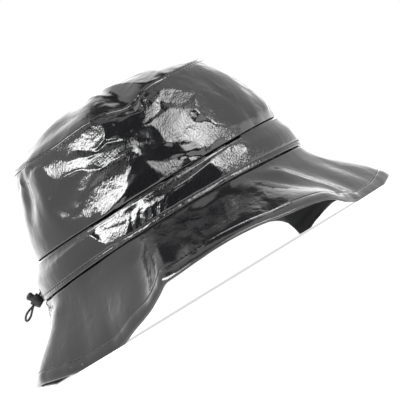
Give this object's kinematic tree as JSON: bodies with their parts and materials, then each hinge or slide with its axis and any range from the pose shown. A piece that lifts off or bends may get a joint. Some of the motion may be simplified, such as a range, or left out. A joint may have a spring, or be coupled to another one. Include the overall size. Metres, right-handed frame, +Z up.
{
  "type": "rain hat",
  "caption": "Soft bucket rain hat in black wet-look coated cloth, with a domed crown, a drawcord band closed by a cord lock at the back, and a sloping wavy brim.",
  "frame": {"origin": "on the floor under the middle of the brim's outline", "axes": "+X towards the front of the hat, +Z up through the crown, -Y the near side in the picture"},
  "size_m": [0.2838, 0.275, 0.1577],
  "materials": {
    "coated_cloth": "glossy coated cloth, matte woven backing inside",
    "lock_plastic": "moulded, satin",
    "elastic_cord": "braided elastic"
  },
  "bodies": {
    "hat": {"crown_tip": "coated_cloth", "crown_side": "coated_cloth", "band": "coated_cloth", "brim": "coated_cloth", "cord_lock_barrel": "lock_plastic", "draw_cord": "elastic_cord"},
    "lock_plunger": {"cord_lock_plunger": "lock_plastic"}
  },
  "joints": [
    {"name": "lock_press", "type": "slide", "parent": "hat", "child": "lock_plunger", "axis": [0.5, 0, -0.866], "range_m": [0, 0.0016], "stiffness_N_per_m": 400, "springref_m": -0.004}
  ]
}
